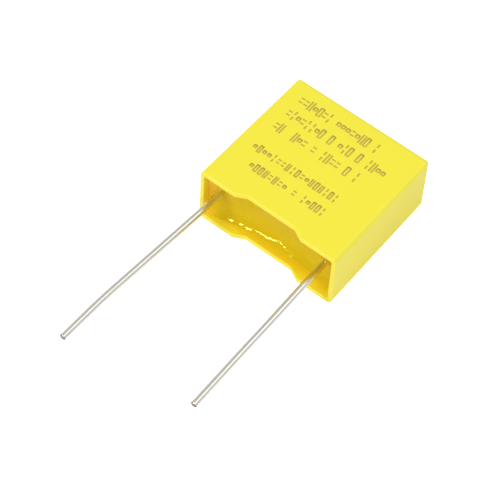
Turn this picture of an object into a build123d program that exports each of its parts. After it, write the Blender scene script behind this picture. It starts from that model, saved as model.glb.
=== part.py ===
from build123d import *
import math
import os

# A box-type film capacitor for mains suppression, lying on one of its large faces.
#
# How it is built: a roll of metallised plastic film is pressed flat and wrapped in
# plain film. Each end of the roll is sprayed with zinc, which joins all its turns, and
# a tinned wire is welded to each zinc face. The roll stands in a moulded case that is
# open at one end. Casting resin fills the case and sets a little below the rim, so the
# wires come out through a glossy dished surface. The rim of each long wall is notched,
# which leaves four corner feet that hold the resin clear of the circuit board.
#
# Frame: the origin is the centre of the open end, on the plane of the feet and at half
# the thickness. +X runs along the case, +Y from the feet to the closed end, and +Z up
# through the thickness. The wires leave along -Y.

# ---------------------------------------------------------------- driving dimensions
# All lengths are in millimetres and all angles in degrees.

# Moulded case, measured at the open rim, where it is largest
case_length = 12.85
case_thickness = 5.8
case_height = 12.1
case_corner = 0.4
closed_end_round = 0.32
outer_draft = 0.5

# Pocket of the case
side_wall = 0.43
end_wall = 0.36
closed_wall = 0.8
pocket_corner = 0.15
inner_draft = 1.2

# Notch in the rim of each long wall, between the corner feet
notch_depth = 0.5
notch_floor_half = 2.22
notch_mouth_half = 3.15
notch_floor_round = 0.45
foot_round = 0.35
rim_round = 0.07

# Mark that the moulding gate leaves in the middle of the closed end
gate_mark_radius = 0.9
gate_mark_depth = 0.12
gate_stub_radius = 0.3

# Surface of the casting resin: a shallow bowl that climbs the walls and the wires
dish_depth = 2.2
dish_centre_x = 1.0
dish_long_radius = 24.0
dish_cross_radius = 6.0
meniscus_height = 0.45
meniscus_reach = 0.5
left_wick_height = 0.15
right_wick_height = 0.6
wick_reach = 0.5
grid_margin = 0.2
grid_count_x = 45
grid_count_z = 21

# Flat-pressed roll of metallised film, with its flat ends facing along X
roll_centre_x = -0.17
roll_centre_y = 6.8
roll_length = 8.9
roll_height = 8.2
roll_thickness = 3.5
wrap_thickness = 0.1
wrap_overhang = 0.15

# Sprayed zinc end faces
spray_thickness = 0.4
spray_inset = 0.12

# Tinned wires
wire_radius = 0.275
wire_cut_bevel = 0.05
kink_radius = 3.0
bow_radius = 45.0

# ---------------------------------------------------------------- derived values
pocket_length = case_length - 2 * end_wall
pocket_thickness = case_thickness - 2 * side_wall
pocket_depth = case_height - closed_wall
spray_outer_half = roll_length / 2 + spray_thickness

# Looks from the feet into the case: its normal is +Y
rim_plane = Plane(origin=(0, 0, 0), x_dir=(1, 0, 0), z_dir=(0, 1, 0))
# Looks along the roll: its normal is +X, and its own x and y are +Y and +Z
roll_plane = Plane.YZ.offset(roll_centre_x)

# Centre lines of the wires in the XY plane, from the end welded to the zinc down to
# the cut tip. The second and third points bound the straight stretch just outside the
# feet, where a wire enters its hole in the board.
left_route = [
    (-5.14, 9.2),
    (-5.26, -0.1),
    (-5.26, -1.2),
    (-5.58, -6.8),
    (-5.88, -12.0),
    (-5.91, -16.5),
]
right_route = [
    (4.94, 9.2),
    (4.82, -0.1),
    (4.82, -1.2),
    (4.905, -5.6),
    (4.94, -9.2),
    (5.05, -14.75),
]


# ---------------------------------------------------------------- shared shapes
def roll_slice(growth, x_from, x_to, mode=Mode.ADD):
    """Slice of the pressed roll's oval section, grown on every side by growth."""
    with BuildSketch(roll_plane.offset(x_from)) as oval:
        with Locations((roll_centre_y, 0)):
            SlotOverall(roll_height + 2 * growth, roll_thickness + 2 * growth)
    extrude(oval.sketch, amount=x_to - x_from, mode=mode)


def wire(route):
    """Round wire swept along straight runs that gentle arcs join."""
    bends = [kink_radius, kink_radius, bow_radius, bow_radius]
    with BuildLine(Plane.XY) as centre_line:
        FilletPolyline(*route, radius=bends)
    path = centre_line.line
    with BuildSketch(Plane(origin=path @ 0, z_dir=path % 0)) as section:
        Circle(wire_radius)
    sweep(section.sketch, path=path)


def lies_on_rim(edge):
    """True for the long edges of the rim, and not for those that cross its wall."""
    along_z = abs((edge % 0.5).Z) > math.cos(math.radians(10))
    crosses_wall = along_z and edge.length < 2 * side_wall
    return edge.bounding_box().max.Y < notch_depth + rim_round and not crosses_wall


def steps(half, count):
    """Evenly spaced values from -half to half."""
    return [half * (2 * i / (count - 1) - 1) for i in range(count)]


def resin_level(x, z):
    """Y of the resin surface: deepest in the bowl, and higher by the walls and wires."""
    bowl = (x - dish_centre_x) ** 2 / (2 * dish_long_radius) + z**2 / (2 * dish_cross_radius)
    near_end = math.exp((abs(x) - pocket_length / 2) / meniscus_reach)
    near_side = math.exp((abs(z) - pocket_thickness / 2) / meniscus_reach)
    climb = meniscus_height * (near_end + near_side - near_end * near_side)
    for route, wick_height in ((left_route, left_wick_height), (right_route, right_wick_height)):
        from_wire = math.hypot(x - route[1][0], z)
        climb += wick_height * math.exp(-((from_wire / wick_reach) ** 2))
    return dish_depth - bowl - climb


# ---------------------------------------------------------------- wires
with BuildPart() as lead_left:
    wire(left_route)
    chamfer(lead_left.faces().sort_by(Axis.Y)[0].edges(), length=wire_cut_bevel)

with BuildPart() as lead_right:
    wire(right_route)
    chamfer(lead_right.faces().sort_by(Axis.Y)[0].edges(), length=wire_cut_bevel)

# ---------------------------------------------------------------- capacitor element
with BuildPart() as film_winding:
    roll_slice(0, -roll_length / 2, roll_length / 2)

with BuildPart() as cover_film:
    wrap_half = roll_length / 2 - wrap_overhang
    roll_slice(wrap_thickness, -wrap_half, wrap_half)
    roll_slice(0, -wrap_half, wrap_half, mode=Mode.SUBTRACT)

# The weld presses each wire a little way into its zinc face.
with BuildPart() as end_spray_left:
    roll_slice(-spray_inset, -spray_outer_half, -roll_length / 2)
    add(lead_left.part, mode=Mode.SUBTRACT)

with BuildPart() as end_spray_right:
    roll_slice(-spray_inset, roll_length / 2, spray_outer_half)
    add(lead_right.part, mode=Mode.SUBTRACT)

# ---------------------------------------------------------------- pocket
# Tapered space inside the case, from the plane of the feet to the closed wall
with BuildPart() as pocket:
    with BuildSketch(rim_plane):
        Rectangle(pocket_length, pocket_thickness)
    extrude(amount=pocket_depth, taper=inner_draft)
    upright_corners = pocket.edges().group_by(Axis.Y)[1]
    fillet(upright_corners, radius=pocket_corner)

# ---------------------------------------------------------------- moulded case
with BuildPart() as case:
    with BuildSketch(rim_plane):
        RectangleRounded(case_length, case_thickness, case_corner)
    extrude(amount=case_height, taper=outer_draft)
    closed_end = case.faces().sort_by(Axis.Y)[-1]
    fillet(closed_end.edges(), radius=closed_end_round)
    add(pocket.part, mode=Mode.SUBTRACT)

    # Notches through the rims of both long walls
    with BuildSketch(Plane.XY.offset(-case_thickness)):
        with BuildLine():
            Polyline(
                (-notch_mouth_half - notch_depth, -notch_depth),
                (-notch_mouth_half, 0),
                (-notch_floor_half, notch_depth),
                (notch_floor_half, notch_depth),
                (notch_mouth_half, 0),
                (notch_mouth_half + notch_depth, -notch_depth),
                close=True,
            )
        notch = make_face()
        fillet(notch.vertices().group_by(Axis.Y)[-1], radius=notch_floor_round)
    extrude(amount=2 * case_thickness, mode=Mode.SUBTRACT)

    # Rounded shoulders of the feet, then a fine round on every edge of the rim
    shoulder_reach = notch_mouth_half + rim_round
    shoulders = (
        case.edges()
        .filter_by(Axis.Z)
        .filter_by_position(Axis.Y, -rim_round, rim_round)
        .filter_by_position(Axis.X, -shoulder_reach, shoulder_reach)
    )
    fillet(shoulders, radius=foot_round)
    rim_edges = case.edges().filter_by(lies_on_rim)
    fillet(rim_edges, radius=rim_round)

    # Sunken mark of the moulding gate, with the broken-off stub in it
    closed_plane = Plane(origin=(0, case_height, 0), x_dir=(1, 0, 0), z_dir=(0, 1, 0))
    with BuildSketch(closed_plane.offset(-gate_mark_depth)):
        Circle(gate_mark_radius)
        Circle(gate_stub_radius, mode=Mode.SUBTRACT)
    extrude(amount=2 * gate_mark_depth, mode=Mode.SUBTRACT)

# ---------------------------------------------------------------- resin
grid_x = steps(pocket_length / 2 + grid_margin, grid_count_x)
grid_z = steps(pocket_thickness / 2 + grid_margin, grid_count_z)
surface_points = [[Vector(x, resin_level(x, z), z) for z in grid_z] for x in grid_x]
resin_surface = Face.make_surface_from_array_of_points(surface_points)

with BuildPart() as epoxy_fill:
    add(pocket.part)
    split(bisect_by=resin_surface, keep=Keep.BOTTOM)
    for buried in (lead_left, lead_right, film_winding, cover_film, end_spray_left, end_spray_right):
        add(buried.part, mode=Mode.SUBTRACT)

# ---------------------------------------------------------------- STEP files
lead_left.part.label = "lead_left"
lead_right.part.label = "lead_right"
film_winding.part.label = "film_winding"
cover_film.part.label = "cover_film"
end_spray_left.part.label = "end_spray_left"
end_spray_right.part.label = "end_spray_right"
case.part.label = "case"
epoxy_fill.part.label = "epoxy_fill"

os.makedirs("parts", exist_ok=True)
for piece in (
    case,
    epoxy_fill,
    film_winding,
    cover_film,
    end_spray_left,
    end_spray_right,
    lead_left,
    lead_right,
):
    export_step(piece.part, f"parts/{piece.part.label}.step")
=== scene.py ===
# %% [markdown]
# # Finishing a boxed film capacitor
# The object is a small capacitor that quiets the mains input of an appliance. A roll of
# metallised film stands in a yellow moulded box, casting resin seals the open end, and
# two tinned wires come out through the resin. All of these solids arrive already built
# and to scale. This lesson gives them their finishes, adds the marking that a laser
# leaves on the case, and sets up a plain studio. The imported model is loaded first, since
# every size below is read from it.

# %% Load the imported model
import math

import bpy
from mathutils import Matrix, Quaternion, Vector


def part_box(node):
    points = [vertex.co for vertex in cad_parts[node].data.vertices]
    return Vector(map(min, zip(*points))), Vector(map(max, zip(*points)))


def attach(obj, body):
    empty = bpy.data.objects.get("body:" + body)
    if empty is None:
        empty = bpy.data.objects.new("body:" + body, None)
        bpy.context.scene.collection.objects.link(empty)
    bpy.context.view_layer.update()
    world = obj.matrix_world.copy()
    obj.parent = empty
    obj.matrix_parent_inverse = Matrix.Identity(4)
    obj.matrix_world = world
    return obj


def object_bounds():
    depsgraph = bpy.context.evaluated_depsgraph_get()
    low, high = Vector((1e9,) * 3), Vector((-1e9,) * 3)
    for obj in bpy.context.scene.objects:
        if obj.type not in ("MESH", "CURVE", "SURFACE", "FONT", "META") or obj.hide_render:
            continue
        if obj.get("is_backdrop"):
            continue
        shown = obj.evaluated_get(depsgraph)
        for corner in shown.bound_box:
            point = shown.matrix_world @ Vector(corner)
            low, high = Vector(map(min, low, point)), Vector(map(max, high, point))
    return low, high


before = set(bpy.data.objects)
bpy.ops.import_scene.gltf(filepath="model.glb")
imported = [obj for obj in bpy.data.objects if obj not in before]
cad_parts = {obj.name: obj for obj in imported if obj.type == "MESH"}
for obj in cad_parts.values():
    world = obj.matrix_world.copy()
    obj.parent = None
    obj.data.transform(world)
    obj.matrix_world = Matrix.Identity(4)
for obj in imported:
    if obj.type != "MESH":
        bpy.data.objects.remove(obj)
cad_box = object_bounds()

for name in sorted(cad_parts):
    low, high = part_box(name)
    print(f"{name:16s}", " x ".join(f"{1000 * side:6.2f}" for side in high - low), "mm")

# %% [markdown]
# ## Two small helpers
# Blender works in metres and in linear light, while sizes on a part this small are
# thought of in millimetres and colours are picked as sRGB hex values. Two short
# functions keep both conversions in one place.

# %% Units and colours
def mm(value):
    """Millimetres as metres."""
    return value * 0.001


def linear(hex_colour):
    """An sRGB hex colour as the linear RGBA that shaders use."""
    channels = [int(hex_colour[i : i + 2], 16) / 255 for i in (1, 3, 5)]
    decoded = [c / 12.92 if c <= 0.04045 else ((c + 0.055) / 1.055) ** 2.4 for c in channels]
    return (*decoded, 1.0)


print("mid yellow in linear light:", [round(c, 3) for c in linear("#F5E934")])

# %% [markdown]
# ## The camera
# A part of 12 mm is best seen from about 17 cm through a long lens, so that its far
# edges shrink only a little. A short lens close by would make the near wires loom. The
# camera stands in front of the open end, to its right and well above it, and is rolled a
# few degrees about its own axis, as a hand-held one is.

# %% Camera
camera_place = Vector((mm(53.231), mm(-77.458), mm(137.015)))
camera_aim = Vector((mm(-0.21), mm(-1.61), 0.0))
camera_roll = math.radians(4.05)

camera_data = bpy.data.cameras.new("studio_camera")
camera_data.sensor_width = 36.0
camera_data.lens = 158.1
camera_data.clip_start = mm(10)
camera_data.clip_end = 20.0
camera = bpy.data.objects.new("studio_camera", camera_data)
bpy.context.scene.collection.objects.link(camera)
camera.rotation_mode = "QUATERNION"
camera.location = camera_place
level_view = (camera_aim - camera_place).to_track_quat("-Z", "Y")
camera.rotation_quaternion = level_view @ Quaternion((0, 0, 1), camera_roll)
bpy.context.scene.camera = camera
print(f"camera {1000 * (camera_aim - camera_place).length:.0f} mm from its aim")

# %% [markdown]
# ## Nodes for every material
# Each material below is a short list of nodes in front of the Principled shader. One
# function adds a node, sets its options, and fills its inputs with either a value or the
# output of another node, so a material reads as a list of what it is made of.

# %% Node helper
def add_node(tree, kind, inputs=None, **options):
    """Adds a node. Each input is given a value or the output socket that feeds it."""
    node = tree.nodes.new(kind)
    for option, choice in options.items():
        setattr(node, option, choice)
    for socket, source in (inputs or {}).items():
        if isinstance(source, bpy.types.NodeSocket):
            tree.links.new(source, node.inputs[socket])
        else:
            node.inputs[socket].default_value = source
    return node


def new_material(name, shader_inputs):
    """A material whose tree holds only its Principled shader and its output."""
    material = bpy.data.materials.new(name)
    material.use_nodes = True
    tree = material.node_tree
    tree.nodes.clear()
    shader = add_node(tree, "ShaderNodeBsdfPrincipled", shader_inputs)
    add_node(tree, "ShaderNodeOutputMaterial", {"Surface": shader.outputs["BSDF"]})
    return material, tree, shader


def per_metre(feature_mm):
    """The scale of a texture whose features are this many millimetres across."""
    return 1.0 / mm(feature_mm)


print("a 0.2 mm pattern has a scale of", per_metre(0.2))

# %% [markdown]
# ## Floor and light
# The capacitor lies on a sheet of white paper. The camera has to see that sheet burnt
# out to pure white, right up to the part. Stronger lights would do that, but they would
# wash out the part as well. So the sheet glows strongly for the camera alone, and only a
# little for every other ray, and the part is lit by paper of an ordinary brightness.

# %% Floor
floor_level = cad_box[0].z
floor_half = 3.0
paper_for_part = linear("#EDEDED")
paper_for_camera = linear("#F8F8F8")
glow_for_part = 0.1
glow_for_camera = 0.67

floor_corners = [(-1, -1), (1, -1), (1, 1), (-1, 1)]
floor_mesh = bpy.data.meshes.new("floor")
floor_mesh.from_pydata(
    [(floor_half * x, floor_half * y, floor_level) for x, y in floor_corners],
    [],
    [(0, 1, 2, 3)],
)
floor = bpy.data.objects.new("floor", floor_mesh)
bpy.context.scene.collection.objects.link(floor)

sheet, tree, shader = new_material(
    "white_paper_sheet", {"Roughness": 0.8, "Emission Color": linear("#FFFFFF")}
)
from_camera = add_node(tree, "ShaderNodeLightPath").outputs["Is Camera Ray"]
paper = add_node(
    tree,
    "ShaderNodeMix",
    {"Factor": from_camera, "A": paper_for_part, "B": paper_for_camera},
    data_type="RGBA",
)
glow = add_node(
    tree,
    "ShaderNodeMath",
    {0: from_camera, 1: glow_for_camera - glow_for_part, 2: glow_for_part},
    operation="MULTIPLY_ADD",
)
tree.links.new(paper.outputs["Result"], shader.inputs["Base Color"])
tree.links.new(glow.outputs[0], shader.inputs["Emission Strength"])
floor_mesh.materials.append(sheet)
floor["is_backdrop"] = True
print(f"floor at {1000 * floor_level:.2f} mm")

# %% [markdown]
# Four soft lights stand in an evenly lit white room, each for one thing that the eye
# looks for. One behind the part draws the bright line down the middle of each wire. One
# above the front fills the large face. A slightly warm one to the right reaches into the
# open end. The last is only a narrow strip low in front, which the resin's dished surface
# mirrors as a row of thin dashes. It is rolled, so that the row slants as the dish does.

# %% Light
def softbox(name, place_mm, size_mm, power, colour="#FFFFFF", roll=0.0):
    """A rectangular area light that faces the part, rolled by this many degrees."""
    light = bpy.data.lights.new(name, "AREA")
    light.shape = "RECTANGLE"
    light.size, light.size_y = [mm(side) for side in size_mm]
    light.energy = power
    light.color = linear(colour)[:3]
    lamp = bpy.data.objects.new(name, light)
    bpy.context.scene.collection.objects.link(lamp)
    lamp.location = Vector([mm(v) for v in place_mm])
    lamp.rotation_mode = "QUATERNION"
    level = (-lamp.location).to_track_quat("-Z", "Y")
    lamp.rotation_quaternion = level @ Quaternion((0, 0, 1), math.radians(roll))


warm_white = "#FFEBD6"
softbox("overhead_softbox", (180, 233, 404), (220, 220), power=0.21)
softbox("upper_softbox", (-100, -280, 400), (300, 300), power=0.73)
softbox("front_softbox", (190, -430, 170), (300, 300), power=0.54, colour=warm_white)
softbox("front_strip", (-104, -425, 208), (100, 24), power=0.43, roll=30)

room_brightness = 0.63
world = bpy.data.worlds.new("studio_room")
world.use_nodes = True
room = world.node_tree.nodes["Background"]
room.inputs["Color"].default_value = linear("#FFFFFF")
room.inputs["Strength"].default_value = room_brightness
bpy.context.scene.world = world
bpy.context.scene.view_settings.view_transform = "Standard"

# %% [markdown]
# ## Moulded polyester
# The case is PBT, a polyester that is injection-moulded in a fine satin tool. It gives
# the eye an even, opaque yellow with a soft gloss, faint clouds where the melt flowed,
# and a fine grain that breaks up each reflection.
#
# The case is one solid, and its pocket gets painted light and shade that its outside
# doesn't: painted bounce light near the rim and painted shade further down. The pocket's
# faces could be given a material of their own, but then each has to be picked out. Here
# a few sums on the place of each point tell them apart. A point is inside when it lies
# nearer the middle of the case than the middle of the wall does, along X, Z and Y alike.
# So each distance is divided by that of the wall's middle, and the largest of the three
# shares has to stay below one.

# %% Where the pocket is
case_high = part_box("case")[1]
# Half the thickness of the pocket's four walls, and of the closed end.
half_wall = mm(0.22)
half_closed_wall = mm(0.4)
wall_middle_x = case_high.x - half_wall
wall_middle_z = case_high.z - half_wall
wall_middle_y = case_high.y - half_closed_wall
# The pocket's painted light and shade fade in between these two depths.
painted_pocket_fade = (mm(-0.1), mm(0.9))


def wall_shares(tree, axes):
    """The distances of a point along X, Z and Y as shares of the wall's middle."""
    shares = []
    for axis, wall_middle in (("X", wall_middle_x), ("Z", wall_middle_z)):
        size = add_node(tree, "ShaderNodeMath", {0: axes[axis]}, operation="ABSOLUTE")
        share = add_node(
            tree, "ShaderNodeMath", {0: size.outputs[0], 1: wall_middle}, operation="DIVIDE"
        )
        shares.append(share.outputs[0])
    from_feet = add_node(
        tree, "ShaderNodeMath", {0: axes["Y"], 1: wall_middle_y}, operation="DIVIDE"
    )
    return [*shares, from_feet.outputs[0]]


def pocket_painted_share(tree, axes, shares):
    """How much of the pocket's painted light and shade a point has: none on the outside."""
    largest = shares[0]
    for share in shares[1:]:
        larger = add_node(tree, "ShaderNodeMath", {0: largest, 1: share}, operation="MAXIMUM")
        largest = larger.outputs[0]
    inside = add_node(tree, "ShaderNodeMath", {0: largest, 1: 1.0}, operation="LESS_THAN")
    fade = add_node(
        tree,
        "ShaderNodeMapRange",
        {"Value": axes["Y"], "From Min": painted_pocket_fade[0], "From Max": painted_pocket_fade[1]},
    )
    coloured = add_node(
        tree,
        "ShaderNodeMath",
        {0: inside.outputs[0], 1: fade.outputs["Result"]},
        operation="MULTIPLY",
    )
    return coloured.outputs[0]


print(f"an end wall's middle is {1000 * wall_middle_x:.3f} mm from the case's")

# %% [markdown]
# The pocket's long walls get painted bounce light, a deeper yellow near the rim, and
# painted shade that darkens them further down the recess. The end walls are the thinnest,
# and they get a painted orange glow for the light that comes through them. Only they lie so
# far out along X, so the share along X tells the two apart.

# %% Painted light and shade of the pocket
# Painted bounce light and painted shade on the long walls, and a painted glow on the end walls.
long_wall_painted_bounce = "#F2CE12"
long_wall_painted_shade = "#DFC40E"
painted_shade_depths = (mm(0.3), mm(2.2))
end_wall_painted_glow = "#FFCA10"
end_wall_share = 0.965


def pocket_painted_light(tree, axes, share_x):
    """The long walls' painted bounce light and painted shade, darker with depth, and the end
    walls' painted orange glow.
    """
    depth = add_node(
        tree,
        "ShaderNodeMapRange",
        {"Value": axes["Y"], "From Min": painted_shade_depths[0], "From Max": painted_shade_depths[1]},
    )
    long_walls = add_node(
        tree,
        "ShaderNodeMix",
        {
            "Factor": depth.outputs["Result"],
            "A": linear(long_wall_painted_bounce),
            "B": linear(long_wall_painted_shade),
        },
        data_type="RGBA",
    )
    on_end = add_node(
        tree, "ShaderNodeMath", {0: share_x, 1: end_wall_share}, operation="GREATER_THAN"
    )
    walls = add_node(
        tree,
        "ShaderNodeMix",
        {
            "Factor": on_end.outputs[0],
            "A": long_walls.outputs["Result"],
            "B": linear(end_wall_painted_glow),
        },
        data_type="RGBA",
    )
    return walls.outputs["Result"]


print(f"the end walls begin {1000 * end_wall_share * wall_middle_x:.3f} mm out")

# %% [markdown]
# The rim is the wall seen edge-on, where light sinks in, and it gets painted shade, a shade
# deeper than the faces around it. Of the case's faces in sight, only the rim's look squarely
# out of the open end, so the direction that a face looks in finds them. The tool's real
# grain is too fine to show, so it is drawn coarser.

# %% Moulded polyester
case_yellow = ("#F3E732", "#F7EC36")
cloud_size_mm = 5.0
# Painted shade on the rim, the faces that look out of the open end.
rim_painted_shade = "#E4D52E"
# The Y of a face's normal where the rim's painted shade starts, and where it is full.
rim_shade_facing = (-0.4, -1.0)
satin_grain_mm = 0.16
satin_depth_mm = 0.003


def moulded_polyester():
    """The satin yellow of the case, with its pocket's painted light and shade and its rim's
    painted shade.
    """
    material, tree, shader = new_material(
        "pbt_moulded_satin", {"IOR": 1.57, "Roughness": 0.36}
    )
    coordinates = add_node(tree, "ShaderNodeTexCoord").outputs
    place = coordinates["Object"]
    axes = add_node(tree, "ShaderNodeSeparateXYZ", {"Vector": place}).outputs
    facing = add_node(tree, "ShaderNodeSeparateXYZ", {"Vector": coordinates["Normal"]}).outputs
    clouds = add_node(
        tree,
        "ShaderNodeTexNoise",
        {"Vector": place, "Scale": per_metre(cloud_size_mm), "Detail": 2.0},
    )
    outside = add_node(
        tree,
        "ShaderNodeMix",
        {
            "Factor": clouds.outputs["Fac"],
            "A": linear(case_yellow[0]),
            "B": linear(case_yellow[1]),
        },
        data_type="RGBA",
    )
    shares = wall_shares(tree, axes)
    # The pocket's painted light and shade go over the outside's yellow.
    with_painted_pocket = add_node(
        tree,
        "ShaderNodeMix",
        {
            "Factor": pocket_painted_share(tree, axes, shares),
            "A": outside.outputs["Result"],
            "B": pocket_painted_light(tree, axes, shares[0]),
        },
        data_type="RGBA",
    )
    rim_shade_share = add_node(
        tree,
        "ShaderNodeMapRange",
        {"Value": facing["Y"], "From Min": rim_shade_facing[0], "From Max": rim_shade_facing[1]},
    )
    with_rim_shade = add_node(
        tree,
        "ShaderNodeMix",
        {
            "Factor": rim_shade_share.outputs["Result"],
            "A": with_painted_pocket.outputs["Result"],
            "B": linear(rim_painted_shade),
        },
        data_type="RGBA",
    )
    grain = add_node(
        tree,
        "ShaderNodeTexNoise",
        {"Vector": place, "Scale": per_metre(satin_grain_mm), "Detail": 3.0},
    )
    bump = add_node(
        tree,
        "ShaderNodeBump",
        {"Height": grain.outputs["Fac"], "Strength": 0.5, "Distance": mm(satin_depth_mm)},
    )
    tree.links.new(with_rim_shade.outputs["Result"], shader.inputs["Base Color"])
    tree.links.new(bump.outputs["Normal"], shader.inputs["Normal"])
    return material


case_finish = moulded_polyester()
print("made", case_finish.name, "of", len(case_finish.node_tree.nodes), "nodes")

# %% [markdown]
# ## Cast epoxy
# The resin is poured in and sets with a surface as smooth as glass. It is an olive
# yellow, darker than the case, and its colour tints what it mirrors. Where it thins out
# up the end walls, they show through it, and with them their painted orange glow. Slow
# ripples, a little under a tenth of a millimetre deep, break each reflection into dashes.
# They are bump and not shape, since they move only the glints and never the outline.

# %% Cast epoxy
resin_olive = ("#C1A60A", "#CCB20C")
filler_size_mm = 2.0
# Thin resin showing the end walls, with their painted orange glow.
thin_resin_and_painted_glow = "#F0B90F"
resin_end_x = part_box("epoxy_fill")[1].x
thin_band = mm(0.7)
mirrored_yellow = "#FFE36C"
ripple_size_mm = 1.2
ripple_depth_mm = 0.095


def cast_epoxy():
    """The glossy olive of the resin, which warms up by the end walls, where their painted glow
    shows through.
    """
    material, tree, shader = new_material(
        "epoxy_cast_glossy",
        {"IOR": 1.55, "Roughness": 0.06, "Specular Tint": linear(mirrored_yellow)},
    )
    place = add_node(tree, "ShaderNodeTexCoord").outputs["Object"]
    axes = add_node(tree, "ShaderNodeSeparateXYZ", {"Vector": place}).outputs
    filler = add_node(
        tree,
        "ShaderNodeTexNoise",
        {"Vector": place, "Scale": per_metre(filler_size_mm), "Detail": 3.0},
    )
    thick = add_node(
        tree,
        "ShaderNodeMix",
        {
            "Factor": filler.outputs["Fac"],
            "A": linear(resin_olive[0]),
            "B": linear(resin_olive[1]),
        },
        data_type="RGBA",
    )
    off_middle = add_node(tree, "ShaderNodeMath", {0: axes["X"]}, operation="ABSOLUTE")
    thinness = add_node(
        tree,
        "ShaderNodeMapRange",
        {
            "Value": off_middle.outputs[0],
            "From Min": resin_end_x - thin_band,
            "From Max": resin_end_x,
        },
    )
    with_thin_ends = add_node(
        tree,
        "ShaderNodeMix",
        {
            "Factor": thinness.outputs["Result"],
            "A": thick.outputs["Result"],
            "B": linear(thin_resin_and_painted_glow),
        },
        data_type="RGBA",
    )
    ripple = add_node(
        tree,
        "ShaderNodeTexNoise",
        {"Vector": place, "Scale": per_metre(ripple_size_mm), "Detail": 1.0},
    )
    bump = add_node(
        tree,
        "ShaderNodeBump",
        {"Height": ripple.outputs["Fac"], "Strength": 1.0, "Distance": mm(ripple_depth_mm)},
    )
    tree.links.new(with_thin_ends.outputs["Result"], shader.inputs["Base Color"])
    tree.links.new(bump.outputs["Normal"], shader.inputs["Normal"])
    return material


resin_finish = cast_epoxy()
print("made", resin_finish.name, "of", len(resin_finish.node_tree.nodes), "nodes")

# %% [markdown]
# ## Tinned wire
# The wire is drawn and then tinned. Tin is a bright, slightly warm white metal, and the
# drawing die leaves fine lines along the wire that stretch its reflections lengthwise.
# The lines are noise that is fifty times longer along the wire than across it, and they
# are drawn coarser than a die leaves them, so that they show. The cutters leave the bare
# core on the end, where it has dulled to a brownish grey. Each wire gets a material of
# its own, since the two are cut at different lengths.

# %% Tinned wire
tin_white = ("#DAD8CE", "#EFEDE5")
die_line_mm = 0.08
die_line_stretch = 50
die_line_depth_mm = 0.004
cut_core_brown = "#958D89"
cut_bevel = mm(0.05)


def tinned_wire(side, tip_y):
    """The finish of one wire, whose cut end lies at tip_y."""
    material, tree, shader = new_material(
        f"tinned_wire_drawn_{side}", {"Metallic": 1.0, "Roughness": 0.24}
    )
    place = add_node(tree, "ShaderNodeTexCoord").outputs["Object"]
    axes = add_node(tree, "ShaderNodeSeparateXYZ", {"Vector": place}).outputs
    along = add_node(
        tree, "ShaderNodeMapping", {"Vector": place, "Scale": (1.0, 1.0 / die_line_stretch, 1.0)}
    )
    lines = add_node(
        tree,
        "ShaderNodeTexNoise",
        {"Vector": along.outputs["Vector"], "Scale": per_metre(die_line_mm), "Detail": 2.0},
    )
    tin = add_node(
        tree,
        "ShaderNodeMix",
        {"Factor": lines.outputs["Fac"], "A": linear(tin_white[0]), "B": linear(tin_white[1])},
        data_type="RGBA",
    )
    at_cut = add_node(
        tree, "ShaderNodeMath", {0: axes["Y"], 1: tip_y + cut_bevel}, operation="LESS_THAN"
    )
    with_cut = add_node(
        tree,
        "ShaderNodeMix",
        {
            "Factor": at_cut.outputs[0],
            "A": tin.outputs["Result"],
            "B": linear(cut_core_brown),
        },
        data_type="RGBA",
    )
    bump = add_node(
        tree,
        "ShaderNodeBump",
        {"Height": lines.outputs["Fac"], "Strength": 0.5, "Distance": mm(die_line_depth_mm)},
    )
    tree.links.new(with_cut.outputs["Result"], shader.inputs["Base Color"])
    tree.links.new(bump.outputs["Normal"], shader.inputs["Normal"])
    return material


wire_finishes = {}
for side in ("left", "right"):
    tip_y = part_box(f"lead_{side}")[0].y
    wire_finishes[side] = tinned_wire(side, tip_y)
    print("made", wire_finishes[side].name, f"for a wire cut at {1000 * tip_y:.2f} mm")

# %% [markdown]
# ## What the box hides
# Nobody sees the roll, its wrap and the sprayed ends, but a model that is opened up or
# cut through shows them, so each gets the finish of the real thing. They differ only in
# colour, grain and gloss, so one function with a single noise pattern makes them all.

# %% Hidden finishes
def grained(name, dark, light, feature_mm, bump_mm, shader_inputs):
    """A finish with one noise pattern in its colour and its relief."""
    material, tree, shader = new_material(name, shader_inputs)
    place = add_node(tree, "ShaderNodeTexCoord").outputs["Object"]
    grain = add_node(
        tree, "ShaderNodeTexNoise", {"Vector": place, "Scale": per_metre(feature_mm)}
    )
    tint = add_node(
        tree,
        "ShaderNodeMix",
        {"Factor": grain.outputs["Fac"], "A": linear(dark), "B": linear(light)},
        data_type="RGBA",
    )
    bump = add_node(
        tree,
        "ShaderNodeBump",
        {"Height": grain.outputs["Fac"], "Strength": 1.0, "Distance": mm(bump_mm)},
    )
    tree.links.new(tint.outputs["Result"], shader.inputs["Base Color"])
    tree.links.new(bump.outputs["Normal"], shader.inputs["Normal"])
    return material


# Aluminium vapour on polypropylene: a grey mirror seen through clear film.
film_finish = grained(
    "polypropylene_metallised",
    dark="#9B9DA3",
    light="#B4B6BA",
    feature_mm=0.6,
    bump_mm=0.003,
    shader_inputs={"Metallic": 0.8, "Roughness": 0.2},
)
# The plain wrap is clear film over that grey, so it only adds gloss and a little white.
wrap_finish = grained(
    "polypropylene_plain_film",
    dark="#C9CBC8",
    light="#DADBD7",
    feature_mm=0.9,
    bump_mm=0.003,
    shader_inputs={"Roughness": 0.15, "IOR": 1.49},
)
# Zinc sprayed as molten drops freezes into matt grey crumbs.
zinc_finish = grained(
    "zinc_arc_sprayed",
    dark="#6E7174",
    light="#9A9C9D",
    feature_mm=0.12,
    bump_mm=0.03,
    shader_inputs={"Metallic": 0.7, "Roughness": 0.7},
)
print("made", film_finish.name, wrap_finish.name, zinc_finish.name)

# %% [markdown]
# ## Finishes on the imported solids
# The solids have the right shapes already, so they stay as they are. Only the material
# in their slots changes.

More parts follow.
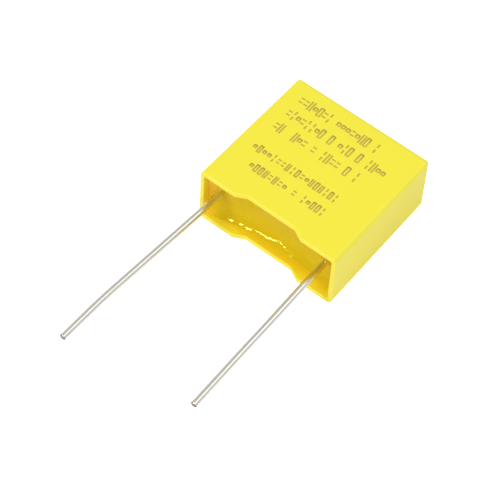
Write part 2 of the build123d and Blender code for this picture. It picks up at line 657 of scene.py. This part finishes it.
# %% Assign
finishes = {
    "case": case_finish,
    "epoxy_fill": resin_finish,
    "film_winding": film_finish,
    "cover_film": wrap_finish,
    "end_spray_left": zinc_finish,
    "end_spray_right": zinc_finish,
    "lead_left": wire_finishes["left"],
    "lead_right": wire_finishes["right"],
}
for name, finish in finishes.items():
    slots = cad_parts[name].data.materials
    slots.clear()
    slots.append(finish)
    print(f"{name:16s}", finish.name)

# %% [markdown]
# ## The marking
# A laser browns the plastic in thin lines. A real case carries ratings and signs there;
# this one carries plain figures that say nothing: paired bars, split bars, paired dashes
# and square-cornered frames, in rows that end raggedly as lines of print do. They could
# be drawn one by one, but they repeat, so Geometry Nodes make them. The figures come
# first. Each is a few lines and frames on a field one unit high.

# %% Figures of the marking
# A line is given by its two ends, and a frame by its middle and its size.
figures = (
    [("line", (-0.12, -0.5), (-0.12, 0.5)), ("line", (0.12, -0.5), (0.12, 0.5))],
    [("line", (0.0, -0.5), (0.0, -0.12)), ("line", (0.0, 0.12), (0.0, 0.5))],
    [("line", (-0.18, -0.2), (0.18, -0.2)), ("line", (-0.18, 0.2), (0.18, 0.2))],
    [("frame", (0.0, 0.0), (0.26, 0.86))],
    [("frame", (0.0, 0.0), (0.26, 0.3))],
)
frame_corner = 0.04


def figure_curves(tree, strokes):
    """The lines and frames of one figure as flat curves."""
    joined = add_node(tree, "GeometryNodeJoinGeometry")
    for kind, first, second in strokes:
        if kind == "line":
            line = add_node(
                tree,
                "GeometryNodeCurvePrimitiveLine",
                {"Start": (*first, 0.0), "End": (*second, 0.0)},
            )
            stroke = line.outputs["Curve"]
        else:
            sharp = add_node(
                tree,
                "GeometryNodeCurvePrimitiveQuadrilateral",
                {"Width": second[0], "Height": second[1]},
            )
            rounded = add_node(
                tree,
                "GeometryNodeFilletCurve",
                {"Curve": sharp.outputs["Curve"], "Count": 2, "Radius": frame_corner},
                mode="POLY",
            )
            moved = add_node(
                tree,
                "GeometryNodeTransform",
                {"Geometry": rounded.outputs["Curve"], "Translation": (*first, 0.0)},
            )
            stroke = moved.outputs["Geometry"]
        tree.links.new(stroke, joined.inputs["Geometry"])
    return joined.outputs["Geometry"]


print(len(figures), "figures of", sum(len(strokes) for strokes in figures), "strokes")

# %% [markdown]
# A figure is then scaled to the height of a row and given a flat profile, which makes a
# thin film of it. Each stays an instance of its own, so that a row can pick among them.

# %% Film of each figure
burn_width = mm(0.14)
burn_thickness = mm(0.01)


def burnt_figures(tree, given):
    """Every figure as an instance, drawn with the given height, width and thickness."""
    profile = add_node(
        tree,
        "GeometryNodeCurvePrimitiveQuadrilateral",
        {"Width": given["Line width"], "Height": given["Burn thickness"]},
    )
    height = given["Figure height"]
    scale = add_node(tree, "ShaderNodeCombineXYZ", {"X": height, "Y": height, "Z": height})
    choices = add_node(tree, "GeometryNodeJoinGeometry")
    for strokes in figures:
        sized = add_node(
            tree,
            "GeometryNodeTransform",
            {"Geometry": figure_curves(tree, strokes), "Scale": scale.outputs[0]},
        )
        flat = add_node(
            tree, "GeometryNodeSetCurveNormal", {"Curve": sized.outputs["Geometry"]}, mode="Z_UP"
        )
        film = add_node(
            tree,
            "GeometryNodeCurveToMesh",
            {
                "Curve": flat.outputs["Curve"],
                "Profile Curve": profile.outputs["Curve"],
                "Fill Caps": True,
            },
        )
        single = add_node(
            tree, "GeometryNodeGeometryToInstance", {"Geometry": film.outputs["Mesh"]}
        )
        tree.links.new(single.outputs["Instances"], choices.inputs["Geometry"])
    return choices.outputs["Geometry"]


print(f"strokes {1000 * burn_width:.2f} mm wide and {1000 * burn_thickness:.2f} mm thick")

# %% [markdown]
# The rows are a grid of points. Some points are dropped at random, which leaves gaps as
# between words. So are all that lie beyond a row's own random end, which leaves the rows
# ragged.

# %% Rows of the marking
columns = 22
column_pitch = mm(0.45)
row_pitch = mm(1.6)
gap_share = 0.15
ragged_length = mm(2.4)


def row_points(tree, given):
    """The points of every row, and the length of a full row."""
    sides = []
    for count, pitch in (("Columns", "Column pitch"), ("Rows", "Row pitch")):
        steps = add_node(tree, "ShaderNodeMath", {0: given[count], 1: 1.0}, operation="SUBTRACT")
        side = add_node(
            tree, "ShaderNodeMath", {0: steps.outputs[0], 1: given[pitch]}, operation="MULTIPLY"
        )
        sides.append(side.outputs[0])
    grid = add_node(
        tree,
        "GeometryNodeMeshGrid",
        {
            "Size X": sides[0],
            "Size Y": sides[1],
            "Vertices X": given["Columns"],
            "Vertices Y": given["Rows"],
        },
    )
    return grid.outputs["Mesh"], sides[0]


def past_row_end(tree, given, row_length):
    """Whether a point lies beyond the random end of its row."""
    index = add_node(tree, "GeometryNodeInputIndex").outputs[0]
    row = add_node(tree, "ShaderNodeMath", {0: index, 1: given["Rows"]}, operation="MODULO")
    # Input 3 of a random float is its highest value, and the lowest is zero already.
    shortfall = add_node(
        tree,
        "FunctionNodeRandomValue",
        {3: given["Ragged length"], "ID": row.outputs[0], "Seed": given["Seed"]},
        data_type="FLOAT",
    )
    full_end = add_node(tree, "ShaderNodeMath", {0: row_length, 1: 0.5}, operation="MULTIPLY")
    row_end = add_node(
        tree,
        "ShaderNodeMath",
        {0: full_end.outputs[0], 1: shortfall.outputs[1]},
        operation="SUBTRACT",
    )
    place = add_node(tree, "GeometryNodeInputPosition").outputs[0]
    x = add_node(tree, "ShaderNodeSeparateXYZ", {"Vector": place}).outputs["X"]
    beyond = add_node(
        tree, "ShaderNodeMath", {0: x, 1: row_end.outputs[0]}, operation="GREATER_THAN"
    )
    return beyond.outputs[0]


full_row = (columns - 1) * column_pitch
print(f"rows of {1000 * (full_row - ragged_length):.2f} to {1000 * full_row:.2f} mm")

# %% [markdown]
# The tree brings the rows and the figures together. It drops points, puts a figure at
# random on each that is left, makes the instances real, and gives them their material.
# Its inputs have names, so the same tree makes rows of any size.

# %% Tree of the marking
def marking_tree():
    """Rows of simple figures, thinned into words with ragged ends."""
    tree = bpy.data.node_groups.new("laser_rows", "GeometryNodeTree")
    for name, kind in (
        ("Rows", "NodeSocketInt"),
        ("Columns", "NodeSocketInt"),
        ("Row pitch", "NodeSocketFloat"),
        ("Column pitch", "NodeSocketFloat"),
        ("Line width", "NodeSocketFloat"),
        ("Figure height", "NodeSocketFloat"),
        ("Burn thickness", "NodeSocketFloat"),
        ("Gap share", "NodeSocketFloat"),
        ("Ragged length", "NodeSocketFloat"),
        ("Seed", "NodeSocketInt"),
        ("Finish", "NodeSocketMaterial"),
    ):
        tree.interface.new_socket(name=name, in_out="INPUT", socket_type=kind)
    tree.interface.new_socket(name="Geometry", in_out="OUTPUT", socket_type="NodeSocketGeometry")
    given = add_node(tree, "NodeGroupInput").outputs
    points, row_length = row_points(tree, given)
    gap = add_node(
        tree,
        "FunctionNodeRandomValue",
        {"Probability": given["Gap share"], "Seed": given["Seed"]},
        data_type="BOOLEAN",
    )
    dropped = add_node(
        tree,
        "ShaderNodeMath",
        {0: gap.outputs[3], 1: past_row_end(tree, given, row_length)},
        operation="MAXIMUM",
    )
    words = add_node(
        tree,
        "GeometryNodeDeleteGeometry",
        {"Geometry": points, "Selection": dropped.outputs[0]},
        domain="POINT",
    )
    # Inputs 4 and 5 of a random whole number are its lowest and highest value.
    choice = add_node(
        tree,
        "FunctionNodeRandomValue",
        {4: 0, 5: len(figures) - 1, "Seed": given["Seed"]},
        data_type="INT",
    )
    placed = add_node(
        tree,
        "GeometryNodeInstanceOnPoints",
        {
            "Points": words.outputs["Geometry"],
            "Instance": burnt_figures(tree, given),
            "Pick Instance": True,
            "Instance Index": choice.outputs[2],
        },
    )
    real = add_node(
        tree, "GeometryNodeRealizeInstances", {"Geometry": placed.outputs["Instances"]}
    )
    finished = add_node(
        tree,
        "GeometryNodeSetMaterial",
        {"Geometry": real.outputs["Geometry"], "Material": given["Finish"]},
    )
    add_node(tree, "NodeGroupOutput", {"Geometry": finished.outputs["Geometry"]})
    return tree


mark_tree = marking_tree()
print("a tree of", len(mark_tree.nodes), "nodes")

# %% [markdown]
# A tree makes its mesh on an object that carries it as a modifier. So an empty object
# carries it for a moment, what comes out is kept as a plain mesh, and the modifier goes.
# A modifier knows the tree's inputs by their identifiers and not by their names.

# %% Growing a mesh
def input_identifiers(tree):
    """The identifier of each of a tree's inputs, by name."""
    return {s.name: s.identifier for s in tree.interface.items_tree if s.in_out == "INPUT"}


def grown(name, tree, inputs):
    """The plain mesh that a Geometry Nodes tree makes from these inputs."""
    carrier = bpy.data.objects.new(name, bpy.data.meshes.new(name + "_empty"))
    bpy.context.scene.collection.objects.link(carrier)
    modifier = carrier.modifiers.new("shape", "NODES")
    modifier.node_group = tree
    identifiers = input_identifiers(tree)
    for input_name, value in inputs.items():
        modifier[identifiers[input_name]] = value
    evaluated = carrier.evaluated_get(bpy.context.evaluated_depsgraph_get())
    mesh = bpy.data.meshes.new_from_object(evaluated)
    carrier.modifiers.remove(modifier)
    carrier.data = mesh
    return carrier


print(input_identifiers(mark_tree))

# %% [markdown]
# Browned polyester is an olive tan, since the laser chars only the skin of the yellow.
# The marking is put on in two blocks, three rows of tall figures and below them two rows
# of smaller ones. Each is laid on the large face, which leans inwards by the mould's
# draft, and stands out by only a few thousandths of a millimetre.

# %% Marking on the case
mark_finish = grained(
    "laser_browned_pbt",
    dark="#C0AC38",
    light="#CCB740",
    feature_mm=0.3,
    bump_mm=0.001,
    shader_inputs={"IOR": 1.57, "Roughness": 0.5},
)
face_draft = math.radians(0.5)
for name, rows, figure_height, middle_y, seed in (
    ("laser_marking_upper", 3, mm(1.0), mm(8.75), 4),
    ("laser_marking_lower", 2, mm(0.8), mm(3.75), 11),
):
    marking = grown(
        name,
        mark_tree,
        {
            "Rows": rows,
            "Columns": columns,
            "Row pitch": row_pitch,
            "Column pitch": column_pitch,
            "Line width": burn_width,
            "Figure height": figure_height,
            "Burn thickness": burn_thickness,
            "Gap share": gap_share,
            "Ragged length": ragged_length,
            "Seed": seed,
            "Finish": mark_finish,
        },
    )
    for vertex in marking.data.vertices:
        x, y, z = vertex.co
        y += middle_y
        vertex.co = (x, y, case_high.z - y * math.tan(face_draft) + z)
    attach(marking, "root")
    print(name, len(marking.data.polygons), "faces")

# %% [markdown]
# ## Sizes
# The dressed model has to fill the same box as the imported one.

# %% Sizes and finish
dressed_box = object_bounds()
for name, (low, high) in (("packed", cad_box), ("dressed", dressed_box)):
    print(name, " x ".join(f"{1000 * side:.3f}" for side in high - low), "mm")
